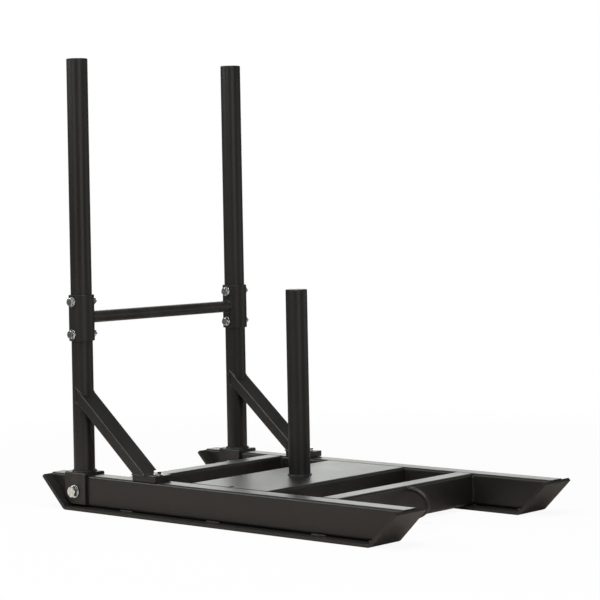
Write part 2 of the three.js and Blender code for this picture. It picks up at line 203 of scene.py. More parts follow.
# %% World
ROOM_LIGHT = 0.15
BACKDROP_LIGHT = 2.6
BACKDROP_COLOUR = (0.98, 1.0, 0.955, 1)
BACKDROP_WAY = (0.77, 0.64, 0.25)
BACKDROP_EDGE = (0.92, 0.98)
BACKDROP_TOP = (0.4, 0.6)

world = bpy.data.worlds.new("studio")
scene.world = world
tree, output = blank_tree(world, "ShaderNodeOutputWorld")
way = tree.nodes.new("ShaderNodeTexCoord").outputs["Generated"]
along = tree.nodes.new("ShaderNodeVectorMath")
along.operation = "DOT_PRODUCT"
along.inputs[1].default_value = Vector(BACKDROP_WAY).normalized()
tree.links.new(way, along.inputs[0])
parts = tree.nodes.new("ShaderNodeSeparateXYZ")
tree.links.new(way, parts.inputs[0])
side_share = span_of(tree, along.outputs["Value"], *BACKDROP_EDGE, 0.0, 1.0, smooth=True)
top_share = span_of(tree, parts.outputs["Z"], *BACKDROP_TOP, 1.0, 0.0, smooth=True)
hung = math_of(tree, "MULTIPLY", side_share, top_share)
studio_level = span_of(tree, hung, 0.0, 1.0, ROOM_LIGHT, BACKDROP_LIGHT)
ray = tree.nodes.new("ShaderNodeLightPath")
clear = math_of(tree, "MAXIMUM", ray.outputs["Is Camera Ray"], ray.outputs["Is Transmission Ray"])
shown = node_of(tree, "ShaderNodeBackground", Color=(1, 1, 1, 1), Strength=1.0)
shed = node_of(tree, "ShaderNodeBackground", Color=BACKDROP_COLOUR)
tree.links.new(studio_level, shed.inputs["Strength"])
camera_mix = tree.nodes.new("ShaderNodeMixShader")
tree.links.new(clear, camera_mix.inputs["Fac"])
tree.links.new(shed.outputs["Background"], camera_mix.inputs[1])
tree.links.new(shown.outputs["Background"], camera_mix.inputs[2])
tree.links.new(camera_mix.outputs["Shader"], output.inputs["Surface"])
print("room light:", ROOM_LIGHT)

# %% [markdown]
# Soft boxes shape the steel. A wide one hangs overhead. A tall one in front and another at the left of
# the camera draw pale stripes down the round tubes. One behind the camera's left draws the light line
# along the runners' rounded edges, and a low white card fills the shade at the sled's far side.

# %% Lamps
OVERHEAD = {"place": (-0.8, -0.6, 3.2), "aim": (0, 0, 0.2), "width": 1.8, "height": 1.8, "power": 72}
FRONT = {"place": (-1.5, -3.2, 1.2), "aim": (0, 0.1, 0.5), "width": 1.3, "height": 2.4, "power": 18}
SIDE = {"place": (-3.5, 0.2, 1.5), "aim": (0, 0.1, 0.6), "width": 1.0, "height": 1.8, "power": 12}
REAR = {"place": (-2.0, 2.4, 2.1), "aim": (0, 0, 0.2), "width": 1.8, "height": 1.0, "power": 36}
FILL = {"place": (2.1, -1.9, 0.55), "aim": (0, 0, 0.3), "width": 2.2, "height": 1.0, "power": 5}


def soft_box(name, place, aim, width, height, power):
    """A rectangular area lamp at a place, turned towards another place."""
    lamp = bpy.data.lights.new(name, "AREA")
    lamp.shape = "RECTANGLE"
    lamp.size = width
    lamp.size_y = height
    lamp.energy = power
    box = bpy.data.objects.new(name, lamp)
    scene.collection.objects.link(box)
    box.location = place
    box.rotation_mode = "QUATERNION"
    box.rotation_quaternion = (Vector(aim) - Vector(place)).to_track_quat("-Z", "Y")


soft_box("overhead box", **OVERHEAD)
soft_box("front box", **FRONT)
soft_box("side box", **SIDE)
soft_box("rear box", **REAR)
soft_box("fill card", **FILL)
print("lamps:", len(bpy.data.lights))

# %% [markdown]
# ## The finishes
#
# The frame is powder coated in satin black. Powder melts into a skin with a very fine ripple, like the
# peel of an orange, so the gloss is broken up a little: a bump far smaller than the tubes, over a slow
# change of gloss along each bar. Outer edges are a shade paler: handling rubs the coat there first, and
# the paleness is also a painted highlight along them.
# The skids are scuffed by the floor: where their steel faces down, the coat is dull and a little grey.

# %% Black powder coat
COAT_DARK = (0.0095, 0.0086, 0.0083, 1)
COAT_PALE = (0.0135, 0.0122, 0.0116, 1)
# The paler colour of outer edges: rubbed coat, and a painted highlight.
COAT_WORN_AND_HIGHLIT = (0.045, 0.041, 0.039, 1)
COAT_GLOSS = (0.36, 0.43)
COAT_PEEL = 420.0
COAT_SPECULAR = 0.45
SCUFF_COLOUR = (0.030, 0.028, 0.027, 1)
SCUFF_GLOSS = 0.6
SCUFF_TURN = (-0.55, -0.35)


def noise_of(tree, place, scale, detail=2.0):
    """A noise pattern in the object's own coordinates, in metres."""
    noise = node_of(tree, "ShaderNodeTexNoise", Scale=scale, Detail=detail)
    tree.links.new(place, noise.inputs["Vector"])
    return noise.outputs["Fac"]


def bump_of(tree, height, strength, depth):
    """A bump of some depth in metres."""
    bump = node_of(tree, "ShaderNodeBump", Strength=strength, Distance=depth)
    tree.links.new(height, bump.inputs["Height"])
    return bump.outputs["Normal"]


def worn_and_highlit_edges(tree, place, low, high, patch):
    """Where an edge stands out and a slow pattern lets it show as worn and as a painted highlight, from 0 to 1."""
    edge = span_of(tree, tree.nodes.new("ShaderNodeNewGeometry").outputs["Pointiness"], low, high, 0.0, 1.0)
    patchy = span_of(tree, noise_of(tree, place, patch, 4.0), 0.42, 0.66, 0.0, 1.0)
    return math_of(tree, "MULTIPLY", edge, patchy)


def powder_coat(name, scuffed):
    """Satin black powder coat: fine peel, a slow change of gloss, and edges a little paler, partly worn and partly a
    painted highlight.
    """
    material = bpy.data.materials.new(name)
    tree, output = blank_tree(material, "ShaderNodeOutputMaterial")
    place = tree.nodes.new("ShaderNodeTexCoord").outputs["Object"]
    coat = node_of(tree, "ShaderNodeBsdfPrincipled", Specular_IOR_Level=COAT_SPECULAR)
    slow = span_of(tree, noise_of(tree, place, 5.0, 3.0), 0.3, 0.7, 0.0, 1.0)
    colour = blend_of(tree, slow, COAT_DARK, COAT_PALE)
    # Painted highlight, in part: outer edges are blended towards a paler colour, which also stands for rubbed coat.
    wear_and_highlight = math_of(tree, "MULTIPLY", worn_and_highlit_edges(tree, place, 0.54, 0.62, 14.0), 0.6)
    colour = blend_of(tree, wear_and_highlight, colour, COAT_WORN_AND_HIGHLIT)
    fine = noise_of(tree, place, 60.0, 3.0)
    gloss_mix = math_of(tree, "ADD", math_of(tree, "MULTIPLY", slow, 0.6), math_of(tree, "MULTIPLY", fine, 0.4))
    gloss = span_of(tree, gloss_mix, 0.1, 0.9, *COAT_GLOSS)
    if scuffed:
        turn = tree.nodes.new("ShaderNodeSeparateXYZ")
        tree.links.new(tree.nodes.new("ShaderNodeNewGeometry").outputs["Normal"], turn.inputs[0])
        scuff = span_of(tree, turn.outputs["Z"], *SCUFF_TURN, 1.0, 0.0)
        colour = blend_of(tree, scuff, colour, SCUFF_COLOUR)
        rubbed = math_of(tree, "MULTIPLY", scuff, SCUFF_GLOSS)
        gloss = math_of(tree, "MAXIMUM", gloss, rubbed)
    tree.links.new(colour, coat.inputs["Base Color"])
    tree.links.new(gloss, coat.inputs["Roughness"])
    peel = noise_of(tree, place, COAT_PEEL, 2.0)
    tree.links.new(bump_of(tree, peel, 0.25, 0.3 * MM), coat.inputs["Normal"])
    tree.links.new(coat.outputs["BSDF"], output.inputs["Surface"])
    return material


black_coat = powder_coat("black powder coat", False)
scuffed_coat = powder_coat("scuffed powder coat", True)
print("made:", black_coat.name, "and", scuffed_coat.name)

# %% [markdown]
# The caps in the tube ends are moulded plastic. Their black is duller than the coat, with the fine
# spark-eroded grain that a mould leaves.

# %% Cap plastic
CAP_COLOUR = (0.011, 0.011, 0.0115, 1)
CAP_PALE = (0.016, 0.016, 0.0165, 1)


def cap_plastic():
    """Black moulded plastic with a fine, dull grain."""
    material = bpy.data.materials.new("cap plastic")
    tree, output = blank_tree(material, "ShaderNodeOutputMaterial")
    place = tree.nodes.new("ShaderNodeTexCoord").outputs["Object"]
    plastic = node_of(tree, "ShaderNodeBsdfPrincipled", Specular_IOR_Level=0.5)
    tree.links.new(blend_of(tree, noise_of(tree, place, 40.0, 3.0), CAP_COLOUR, CAP_PALE), plastic.inputs["Base Color"])
    grain = noise_of(tree, place, 1400.0, 1.0)
    tree.links.new(span_of(tree, grain, 0.3, 0.7, 0.42, 0.56), plastic.inputs["Roughness"])
    tree.links.new(bump_of(tree, grain, 0.3, 0.1 * MM), plastic.inputs["Normal"])
    tree.links.new(plastic.outputs["BSDF"], output.inputs["Surface"])
    return material


moulded = cap_plastic()
print("made:", moulded.name)

# %% [markdown]
# The bolts are zinc plated. Bright zinc is close to white metal, dulled in patches where it has been
# handled, and it carries the fine turning marks of the bolt underneath.

# %% Zinc plate
ZINC_BRIGHT = (0.80, 0.84, 0.86, 1)
ZINC_DULL = (0.54, 0.57, 0.585, 1)
# The colour of the painted shade in hollow corners.
ZINC_PAINTED_SHADE = (0.16, 0.155, 0.15, 1)
ZINC_GLOSS = (0.12, 0.24)


def zinc_plate():
    """Bright zinc: metallic, with duller patches, painted shade in its corners and fine marks."""
    material = bpy.data.materials.new("zinc plate")
    tree, output = blank_tree(material, "ShaderNodeOutputMaterial")
    place = tree.nodes.new("ShaderNodeTexCoord").outputs["Object"]
    metal = node_of(tree, "ShaderNodeBsdfPrincipled", Metallic=1.0)
    patch = span_of(tree, noise_of(tree, place, 130.0, 3.0), 0.35, 0.65, 0.0, 1.0)
    colour = blend_of(tree, patch, ZINC_BRIGHT, ZINC_DULL)
    # Painted shade: the colour is darkened where the surface is hollow, in corners and between the threads.
    shaded_hollow = span_of(tree, tree.nodes.new("ShaderNodeNewGeometry").outputs["Pointiness"], 0.40, 0.48, 0.7, 0.0)
    tree.links.new(blend_of(tree, shaded_hollow, colour, ZINC_PAINTED_SHADE), metal.inputs["Base Color"])
    tree.links.new(span_of(tree, patch, 0.0, 1.0, *ZINC_GLOSS), metal.inputs["Roughness"])
    marks = noise_of(tree, place, 2500.0, 1.0)
    tree.links.new(bump_of(tree, marks, 0.15, 0.05 * MM), metal.inputs["Normal"])
    tree.links.new(metal.outputs["BSDF"], output.inputs["Surface"])
    return material


zinc = zinc_plate()
print("made:", zinc.name)

# %% [markdown]
# ## Shape helpers
#
# Nearly all of a sled is made by three workshop steps: tube is cut to length, plate is folded, and bar
# is bent. The helpers below follow them. One spins a section round an axis, for tubes, caps, washers
# and threads. One runs an outline with rounded bends through its width, for folded plate. One sweeps a
# round section along a line, for weld beads.

# %% Finishing a piece
CREASE = math.radians(32)
FLAT_WEIGHT = 95


def level_shading(piece):
    """Lets large flat faces set the shading at their rounded edges, so that a flat stays flat."""
    level = piece.modifiers.new("level", "WEIGHTED_NORMAL")
    level.mode = "FACE_AREA"
    level.weight = FLAT_WEIGHT
    level.keep_sharp = True
    rough = piece.data
    graph = bpy.context.evaluated_depsgraph_get()
    piece.data = bpy.data.meshes.new_from_object(piece.evaluated_get(graph), depsgraph=graph)
    piece.data.name = rough.name
    piece.modifiers.clear()
    bpy.data.meshes.remove(rough)


def finished(name, shape, finish, slot, *covers):
    """Makes a shape into a piece that rides on the frame, and hides the CAD nodes it covers."""
    bmesh.ops.recalc_face_normals(shape, faces=shape.faces)
    data = bpy.data.meshes.new(name)
    shape.to_mesh(data)
    shape.free()
    data.materials.append(finish)
    data.shade_smooth()
    data.set_sharp_from_angle(angle=CREASE)
    piece = bpy.data.objects.new(name, data)
    scene.collection.objects.link(piece)
    level_shading(piece)
    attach(piece, "root")
    if covers:
        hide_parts(*covers)
    return piece


def steel(name, shape, *covers):
    """A powder coated piece."""
    return finished(name, shape, black_coat, "frame_coat", *covers)


def centre_of(node):
    """The middle of a CAD node's box."""
    low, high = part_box(node)
    return (low + high) / 2


def mirrored_side(side):
    """-1 for the sled's right side, +1 for its left side."""
    return -1 if side == "right" else 1


SIDES = ("right", "left")
print("sides:", SIDES)

# %% Spinning a section
ROUND_STEPS = 96
SMALL_STEPS = 48
BEND_STEPS = 4
WELD_MERGE = 0.001 * MM
THIN_FACE = 0.01 * MM
UPRIGHT_TURN = Matrix.Identity(4)
SIDEWAYS_TURN = Matrix.Rotation(math.pi / 2, 4, "Y")


def turned(corners, steps=ROUND_STEPS):
    """Spins a section round +Z. Its corners are (radius, height, bend), in metres."""
    shape = bmesh.new()
    verts = [shape.verts.new((radius, 0, height)) for radius, height, bend in corners]
    face = shape.faces.new(verts)
    for vert, (radius, height, bend) in zip(verts, corners):
        if bend:
            bmesh.ops.bevel(
                shape, geom=[vert], affect="VERTICES", offset=bend, offset_type="OFFSET",
                segments=BEND_STEPS, profile=0.5, material=-1,
            )
    bmesh.ops.delete(shape, geom=list(shape.faces), context="FACES_ONLY")
    on_axis = [edge for edge in shape.edges if max(abs(vert.co.x) for vert in edge.verts) < WELD_MERGE]
    bmesh.ops.delete(shape, geom=on_axis, context="EDGES")
    bmesh.ops.spin(
        shape, geom=shape.verts[:] + shape.edges[:], cent=(0, 0, 0), axis=(0, 0, 1),
        angle=math.tau, steps=steps, use_merge=True, use_duplicate=False,
    )
    bmesh.ops.remove_doubles(shape, verts=shape.verts, dist=WELD_MERGE)
    return shape


def placed(shape, place, turn=UPRIGHT_TURN):
    """Turns a shape, then moves it to its place."""
    shape.transform(Matrix.Translation(place) @ turn)
    return shape


def tube(radius, wall, low, high, edge, steps=ROUND_STEPS):
    """A round tube along +Z, with softened rims."""
    inside = radius - wall
    corners = [(radius, low, edge), (radius, high, edge), (inside, high, edge), (inside, low, edge)]
    return turned(corners, steps)


def added(shape, other):
    """Adds another shape to a shape."""
    data = bpy.data.meshes.new("part")
    other.to_mesh(data)
    other.free()
    shape.from_mesh(data)
    bpy.data.meshes.remove(data)
    return shape


print("spinning in", ROUND_STEPS, "steps")

# %% Running an outline
EDGE_STEPS = 2


def soften(shape, edges, width):
    """Rounds some edges."""
    bmesh.ops.bevel(
        shape, geom=edges, affect="EDGES", offset=width, offset_type="OFFSET", segments=EDGE_STEPS,
        profile=0.5, clamp_overlap=True, material=-1,
    )


def run_outline(corners, low, high, edge, bend_steps=8):
    """Runs an outline from X low to X high. Its corners are (y, z, bend), the bend as its tangent length."""
    shape = bmesh.new()
    verts = [shape.verts.new((low, y, z)) for y, z, bend in corners]
    shape.faces.new(verts)
    for vert, (y, z, bend) in zip(verts, corners):
        if bend:
            bmesh.ops.bevel(
                shape, geom=[vert], affect="VERTICES", offset=bend, offset_type="OFFSET",
                segments=bend_steps, profile=0.5, material=-1,
            )
    run = bmesh.ops.extrude_face_region(shape, geom=list(shape.faces))
    moved = [item for item in run["geom"] if isinstance(item, bmesh.types.BMVert)]
    bmesh.ops.translate(shape, verts=moved, vec=(high - low, 0, 0))
    bmesh.ops.recalc_face_normals(shape, faces=shape.faces)
    if edge:
        sharp = [item for item in shape.edges if item.calc_face_angle(0) > CREASE]
        soften(shape, sharp, edge)
        bmesh.ops.dissolve_degenerate(shape, dist=THIN_FACE, edges=shape.edges)
    return shape


def refined(node, edge):
    """A copy of a CAD node, merged and flat faces joined, with its sharp edges softened."""
    shape = bmesh.new()
    shape.from_mesh(nodes[node].data)
    shape.transform(nodes[node].matrix_world)
    bmesh.ops.remove_doubles(shape, verts=shape.verts, dist=WELD_MERGE)
    bmesh.ops.dissolve_limit(shape, angle_limit=math.radians(0.5), verts=shape.verts, edges=shape.edges)
    bmesh.ops.recalc_face_normals(shape, faces=shape.faces)
    if edge:
        sharp = [item for item in shape.edges if item.calc_face_angle(0) > CREASE]
        soften(shape, sharp, edge)
        bmesh.ops.dissolve_degenerate(shape, dist=THIN_FACE, edges=shape.edges)
    return shape


print("softening edges in", EDGE_STEPS, "steps")

# %% Sweeping a weld bead
BEAD_SIDES = 8
BEAD_STEP = 1.0 * MM
RIPPLE = 3.2 * MM
RIPPLE_DEPTH = 0.16


def measured(points, closed):
    """The same line, with its points spread evenly along it."""
    line = [Vector(point) for point in points]
    if closed:
        line.append(line[0])
    spans = [(b - a).length for a, b in zip(line, line[1:])]
    total = sum(spans)
    count = max(6, round(total / BEAD_STEP))
    spread, index, passed = [], 0, 0.0
    for step in range(count if closed else count + 1):
        goal = total * step / count
        while index < len(spans) - 1 and passed + spans[index] < goal:
            passed += spans[index]
            index += 1
        share = (goal - passed) / spans[index] if spans[index] else 0.0
        spread.append(line[index].lerp(line[index + 1], min(share, 1.0)))
    return spread


def bead(points, radius, closed=False):
    """A weld bead: a round section swept along a line, with the ripple of each new pool of metal."""
    spread = measured(points, closed)
    curve = bpy.data.curves.new("bead", "CURVE")
    curve.dimensions = "3D"
    curve.bevel_depth = 1.0
    curve.bevel_resolution = 2
    curve.use_fill_caps = True
    spline = curve.splines.new("POLY")
    spline.points.add(len(spread) - 1)
    spline.use_cyclic_u = closed
    ends = len(spread) - 1
    for index, (point, place) in enumerate(zip(spline.points, spread)):
        phase = (index * BEAD_STEP / RIPPLE) % 1.0
        swell = 1 - RIPPLE_DEPTH * phase
        taper = 1.0 if closed else min(1.0, 0.45 + 0.28 * min(index, ends - index))
        point.co = (*place, 1)
        point.radius = radius * swell * taper
    holder = bpy.data.objects.new("bead", curve)
    data = bpy.data.meshes.new_from_object(holder)
    shape = bmesh.new()
    shape.from_mesh(data)
    bpy.data.objects.remove(holder)
    bpy.data.curves.remove(curve)
    bpy.data.meshes.remove(data)
    bmesh.ops.remove_doubles(shape, verts=shape.verts, dist=WELD_MERGE)
    return shape


def circle(centre, radius, count=48):
    """Points round an upright axis."""
    turns = [math.tau * step / count for step in range(count)]
    return [Vector(centre) + Vector((math.cos(t), math.sin(t), 0)) * radius for t in turns]


print("bead ripple:", RIPPLE / MM, "mm")

# %% [markdown]
# ## The skids
#
# Each skid is one length of heavy flat bar, with both ends turned up so that it rides over turf and
# mats. It is drawn as the bar's side outline, rounded at the four bends, and run through the bar's
# width. The inner and outer bends share a centre, as they do where a press folds real bar. The ground
# wears the lower edges, and mill edges are never quite sharp, so all long edges are softened.

# %% Skids
SKID_THICK = 8 * MM
SKID_INNER_BEND = 6 * MM
SKID_ANGLE = math.radians(45)
SKID_EDGE = 0.8 * MM


def skid_outline(low, high):
    """The side outline of a bent skid between the corners of its box."""
    rise = high.z - low.z
    tip = SKID_THICK * math.sin(SKID_ANGLE)
    outer_end = rise - SKID_THICK * math.cos(SKID_ANGLE)
    outer_corner = high.y - outer_end / math.tan(SKID_ANGLE)
    inner_corner = outer_corner - SKID_THICK * math.tan(SKID_ANGLE / 2)
    inner_end = high.y - tip
    outer_bend = (SKID_INNER_BEND + SKID_THICK) * math.tan(SKID_ANGLE / 2)
    inner_bend = SKID_INNER_BEND * math.tan(SKID_ANGLE / 2)
    half = [
        (outer_corner, low.z, outer_bend),
        (high.y, low.z + outer_end, 0),
        (inner_end, high.z, 0),
        (inner_corner, low.z + SKID_THICK, inner_bend),
    ]
    return half + [(-y, z, bend) for y, z, bend in reversed(half)]


for side in SIDES:
    low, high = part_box(f"{side}_skid")
    shape = run_outline(skid_outline(low, high), low.x, high.x, SKID_EDGE)
    finished(f"{side}_skid_bar", shape, scuffed_coat, "frame_coat", f"{side}_skid")
print("skid length:", round((high.y - low.y) / MM), "mm")

# %% [markdown]
# ## The runners and crossbars
#
# Runners and crossbars are cut from one rectangular tube. The runners are mitred to lie in the turned
# ends of the skids and carry cross holes for the saddle bolts and a small vent that lets hot gas out
# while they are welded shut. Those cuts come from the CAD solid: its copy is merged into plain faces,
# and the cut edges are softened, as they are after deburring.

# %% Runners and crossbars
CUT_EDGE = 0.35 * MM
FRAME_TUBES = [f"{side}_runner" for side in SIDES] + ["front_crossbar", "rear_crossbar"]

for node in FRAME_TUBES:
    steel(f"{node}_tube", refined(node, CUT_EDGE), node)
print("frame tubes:", FRAME_TUBES)

# %% [markdown]
# ## The deck
#
# The deck is folded from plate, with a flange down along its front and rear, and lies flush between
# the runners. A small hole beside the right runner lets water out of the folded tray. It also comes
# from the CAD solid, since its folds and its hole are there already.

# %% Deck
steel("deck_plate_folded", refined("deck_plate", CUT_EDGE), "deck_plate")

# %% [markdown]
# ## The round tubes
#
# The post, the uprights, the poles, the sleeves and the push bar are all round tube, cut square and
# deburred. A softened rim catches a thin line of light at each cut end, which is what makes a tube
# look cut and not drawn. The sleeves are the next tube size up, so they slide over the joint.

# %% Round tubes
RIM = 0.6 * MM
SLEEVE_RIM = 1.0 * MM
POLE_WALL = 2.5 * MM
POST_WALL = 3 * MM
SLEEVE_WALL = 4.5 * MM
BAR_SINK = 2.5 * MM


def upright_tube(node, wall, rim):
    """A round tube that fills a CAD node's box, standing up."""
    low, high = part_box(node)
    radius = (high.x - low.x) / 2
    shape = tube(radius, wall, low.z, high.z, rim)
    middle = (low + high) / 2
    return placed(shape, (middle.x, middle.y, 0))


for side in SIDES:
    steel(f"{side}_upright_tube", upright_tube(f"{side}_lower_upright", POLE_WALL, RIM), f"{side}_lower_upright")
    steel(f"{side}_pole_tube", upright_tube(f"{side}_push_pole", POLE_WALL, RIM), f"{side}_push_pole")
    steel(f"{side}_sleeve_tube", upright_tube(f"{side}_sleeve", SLEEVE_WALL, SLEEVE_RIM), f"{side}_sleeve")
steel("weight_post_tube", upright_tube("weight_post", POST_WALL, RIM), "weight_post")

low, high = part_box("push_crossbar")
middle = (low + high) / 2
bar_radius = (high.z - low.z) / 2
reach = (high.x - low.x) / 2
shape = tube(bar_radius, POLE_WALL, -reach, reach, 0)
steel("push_bar_tube", placed(shape, middle, SIDEWAYS_TURN), "push_crossbar")
print("push bar:", round(bar_radius * 2 / MM), "mm round")

# %% [markdown]
# ## The caps
#
# Each open tube end is closed by a pressed-in cap: a thin disc with a rounded edge, as wide as the
# tube, on a plug that grips the inside. The disc is very slightly crowned, so it sheds water.

# %% Caps
CAP_DISC = 2.6 * MM
CAP_EDGE = 1.6 * MM
CAP_CROWN = 0.25 * MM
CAP_GRIP = 3.1 * MM


def cap(node):
    """A crowned cap that fills a CAD node's box."""
    low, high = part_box(node)
    radius = (high.x - low.x) / 2
    plug = radius - CAP_GRIP
    corners = [
        (0, high.z, 0), (radius * 0.55, high.z - CAP_CROWN * 0.3, 0), (radius, high.z - CAP_CROWN, CAP_EDGE),
        (radius, high.z - CAP_DISC, 0.3 * MM), (plug, high.z - CAP_DISC, 0), (plug, low.z, 1 * MM), (0, low.z, 0),
    ]
    middle = (low + high) / 2
    return placed(turned(corners), (middle.x, middle.y, 0))


for node in ("right_pole_cap", "left_pole_cap", "post_cap"):
    finished(f"{node}_moulded", cap(node), moulded, "cap_plastic", node)
print("cap disc:", CAP_DISC / MM, "mm")

# %% [markdown]
# ## The saddles, braces and feet
#
# A saddle is plate folded over the runner, with the upright welded on top and one large bolt through
# its cheeks. The brace is rectangular tube, cut to the curve of the upright at its upper end and flat
# to its foot at the other. The foot is a thick plate that one bolt holds down on the runner.

# %% Saddles, braces and feet
FOOT_EDGE = 1.2 * MM

for side in SIDES:
    steel(f"{side}_saddle_folded", refined(f"{side}_saddle", CUT_EDGE), f"{side}_saddle")
    steel(f"{side}_brace_tube", refined(f"{side}_brace", 0), f"{side}_brace")
    steel(f"{side}_foot_plate", refined(f"{side}_brace_foot", FOOT_EDGE), f"{side}_brace_foot")

# %% [markdown]
# ## The fasteners
#
# The sleeves, saddles and feet are held by hexagon bolts. A real bolt head is a hexagon whose corners
# are turned away by a shallow cone, so its top shows a circle. Here the cone is cut by a ring of flat
# planes. The nut has that cone on both faces. Each shank ends in a thread, spun from a zigzag section.

# %% Hexagon blocks
CHAMFER_PLANES = 24
CHAMFER_TILT = math.radians(30)
CHAMFER_START = 0.96
HEX_SIDES = 6


def cone_cut(shape, flats, height, way):
    """Cuts the corners of a hexagon block away at one end, with a ring of tilted planes."""
    for step in range(CHAMFER_PLANES):
        turn = math.tau * step / CHAMFER_PLANES
        out = Vector((math.cos(turn), math.sin(turn), 0))
        normal = out * math.sin(CHAMFER_TILT) + Vector((0, 0, way * math.cos(CHAMFER_TILT)))
        start = out * (flats / 2 * CHAMFER_START) + Vector((0, 0, height))
        everything = shape.verts[:] + shape.edges[:] + shape.faces[:]
        cut = bmesh.ops.bisect_plane(
            shape, geom=everything, plane_co=start, plane_no=normal, clear_outer=True, dist=WELD_MERGE,
        )
        rim = [item for item in cut["geom_cut"] if isinstance(item, bmesh.types.BMEdge)]
        if rim:
            bmesh.ops.edgeloop_fill(shape, edges=rim)


def hexagon(flats, height, both_ends):
    """A hexagon block from Z 0 up, with its top corners turned away, and its lower ones too if asked."""
    shape = bmesh.new()
    across = flats / math.cos(math.pi / HEX_SIDES)
    bmesh.ops.create_circle(shape, cap_ends=True, radius=across / 2, segments=HEX_SIDES)
    run = bmesh.ops.extrude_face_region(shape, geom=list(shape.faces))
    moved = [item for item in run["geom"] if isinstance(item, bmesh.types.BMVert)]
    bmesh.ops.translate(shape, verts=moved, vec=(0, 0, height))
    bmesh.ops.recalc_face_normals(shape, faces=shape.faces)
    cone_cut(shape, flats, height, 1)
    if both_ends:
        cone_cut(shape, flats, 0.0, -1)
    return shape


trial = hexagon(24 * MM, 10 * MM, True)
print("open edges on a nut:", sum(edge.is_boundary for edge in trial.edges))
trial.free()

# %% Bolts, nuts and washers
WASHER_EDGE = 0.4 * MM
THREAD_DEPTH_SHARE = 0.61
SIZES = {
    "large": {"shank": 16 * MM, "flats": 24 * MM, "head": 10 * MM, "pitch": 2.0 * MM},
    "small": {"shank": 10 * MM, "flats": 17 * MM, "head": 7 * MM, "pitch": 1.5 * MM},
}
HEX_TURN = Matrix.Rotation(math.radians(14), 4, "Z")


def shank(size, length, threaded):
    """A bolt's shank, from Z 0 down, with a thread over its last stretch and a turned tip."""
    radius = size["shank"] / 2
    pitch = size["pitch"]
    depth = pitch * THREAD_DEPTH_SHARE
    corners = [(0, 0, 0), (radius, 0, 0)]
    turns = int(threaded / pitch)
    start = -length + pitch * 0.8 + turns * pitch
    for turn in range(turns):
        crest = start - turn * pitch
        corners += [(radius, crest, 0), (radius - depth, crest - pitch / 2, 0)]
    corners += [(radius - depth * 0.4, -length + pitch * 0.6, 0), (radius - depth, -length, 0), (0, -length, 0)]
    return turned(corners, SMALL_STEPS)


def bolt(size, length, threaded):
    """A hexagon bolt whose head stands up from Z 0 and whose shank goes down."""
    shape = placed(hexagon(size["flats"], size["head"], False), (0, 0, 0), HEX_TURN)
    return added(shape, shank(size, length, threaded))


def fastener_way(node, head_way, axis):
    """The turn that lays +Z along an axis, towards the bolt's head."""
    if axis == "Z":
        return UPRIGHT_TURN
    return SIDEWAYS_TURN if head_way > 0 else SIDEWAYS_TURN.inverted()


def make_bolt(node, size, axis, head_way):
    """A bolt that fills a CAD node's box along an axis, its head at that end."""
    low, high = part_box(node)
    length = (high - low)["XYZ".index(axis)]
    seat = centre_of(node)
    seat["XYZ".index(axis)] = (high if head_way > 0 else low)["XYZ".index(axis)] - head_way * size["head"]
    shape = bolt(size, length - size["head"], size["shank"] * 1.6)
    finished(f"{node}_zinc", placed(shape, seat, fastener_way(node, head_way, axis)), zinc, "zinc_plate", node)


def make_nut(node, size, axis):
    """A nut that fills a CAD node's box along an axis."""
    low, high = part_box(node)
    height = (high - low)["XYZ".index(axis)]
    seat = centre_of(node)
    seat["XYZ".index(axis)] = low["XYZ".index(axis)]
    shape = placed(hexagon(size["flats"], height, True), (0, 0, 0), HEX_TURN)
    finished(f"{node}_zinc", placed(shape, seat, fastener_way(node, 1, axis)), zinc, "zinc_plate", node)


def make_washer(node, size, axis):
    """A washer that fills a CAD node's box along an axis."""
    low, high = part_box(node)
    thick = (high - low)["XYZ".index(axis)]
    radius = max(high - low) / 2
    seat = centre_of(node)
    seat["XYZ".index(axis)] = low["XYZ".index(axis)]
    shape = tube(radius, radius - size["shank"] / 2 - 0.2 * MM, 0, thick, WASHER_EDGE, SMALL_STEPS)
    finished(f"{node}_zinc", placed(shape, seat, fastener_way(node, 1, axis)), zinc, "zinc_plate", node)


for side in SIDES:
    out = mirrored_side(side)
    make_bolt(f"{side}_saddle_bolt", SIZES["large"], "X", out)
    make_nut(f"{side}_saddle_nut", SIZES["large"], "X")
    for part in ("head_washer", "nut_washer"):
        make_washer(f"{side}_saddle_{part}", SIZES["large"], "X")
    for row in ("upper", "lower"):
        make_bolt(f"{side}_sleeve_{row}_bolt", SIZES["small"], "X", -1)
        make_nut(f"{side}_sleeve_{row}_nut", SIZES["small"], "X")
        make_washer(f"{side}_sleeve_{row}_head_washer", SIZES["small"], "X")
    make_bolt(f"{side}_foot_bolt", SIZES["small"], "Z", 1)
    make_nut(f"{side}_foot_nut", SIZES["small"], "Z")
    make_washer(f"{side}_foot_washer", SIZES["small"], "Z")

# %% [markdown]
# ## The tow loop
#
# The loop is one round bar, bent to half an ellipse in an upright plane, with both ends welded square to
# the front crossbar. It is drawn as a ring of points carried along the bend: at each step the ring is
# turned square to the bar, and joined to the ring before it.

# %% Tow loop
LOOP_SIDES = 24
LOOP_STEPS = 48

